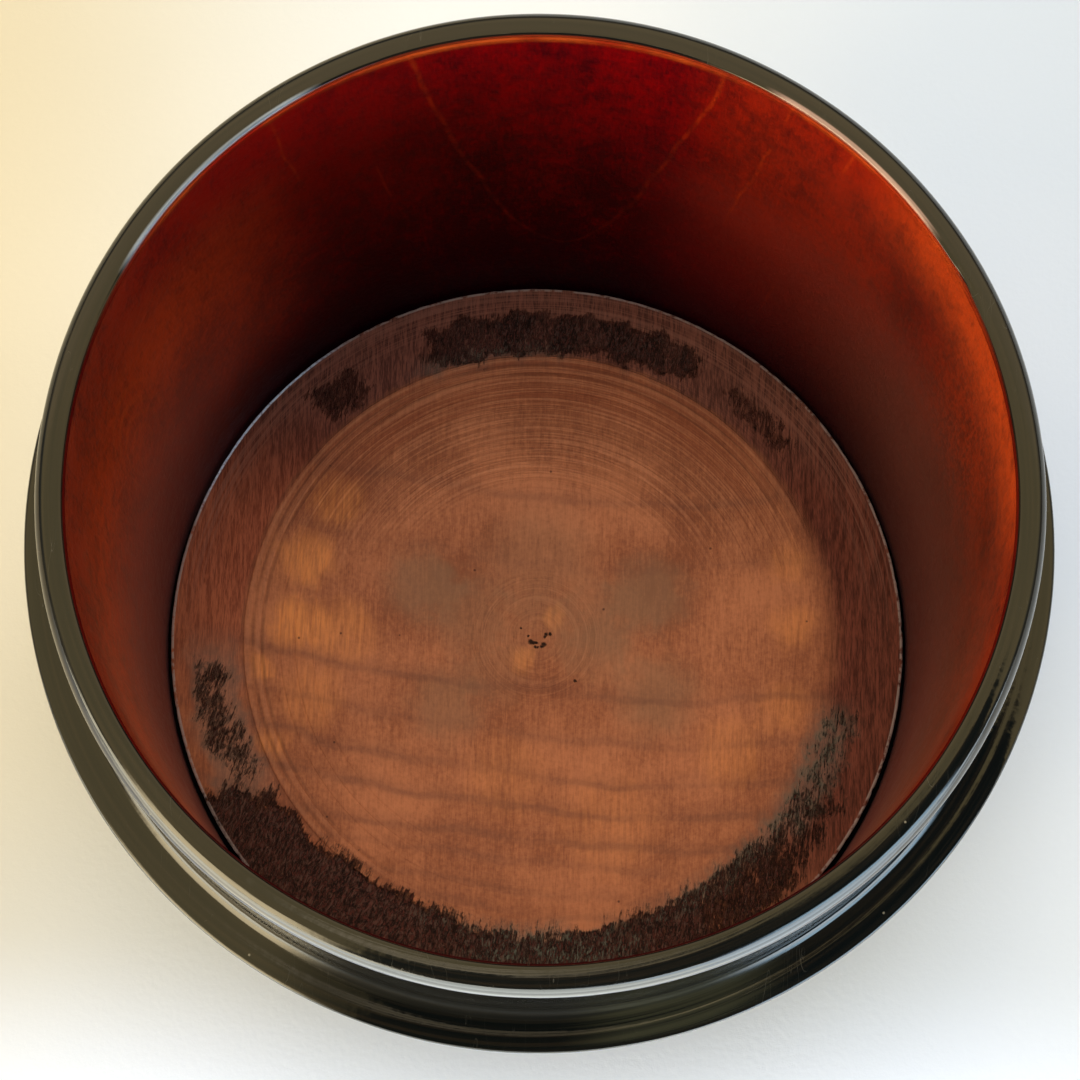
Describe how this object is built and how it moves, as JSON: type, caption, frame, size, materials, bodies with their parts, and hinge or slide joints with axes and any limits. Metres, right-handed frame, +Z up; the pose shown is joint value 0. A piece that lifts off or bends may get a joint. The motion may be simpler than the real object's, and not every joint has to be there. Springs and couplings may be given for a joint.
{
  "type": "shaving mug",
  "caption": "Deep turned wooden shaving mug in black lacquer, with a slip-lid neck and shoulder, a red-brown veneer-lined bore and a flat turned wooden floor disc.",
  "frame": {"origin": "centre of the underside of the felt pad, where the turning axis meets the surface the mug stands on", "axes": "+Z up along the turning axis; -Y is the side nearest the viewer in the picture, and +X is to its right"},
  "size_m": [0.0924, 0.0924, 0.078],
  "materials": {
    "black_lacquer": "high-gloss black lacquer over turned hardwood",
    "stained_veneer": "red-brown stain under satin lacquer",
    "floor_wood": "worn, thinly oiled turned wood",
    "base_felt": "short-pile wool felt"
  },
  "bodies": {
    "root": {"outer_cup": "black_lacquer", "wall_liner": "stained_veneer", "floor_disc": "floor_wood", "base_pad": "base_felt"}
  },
  "joints": []
}
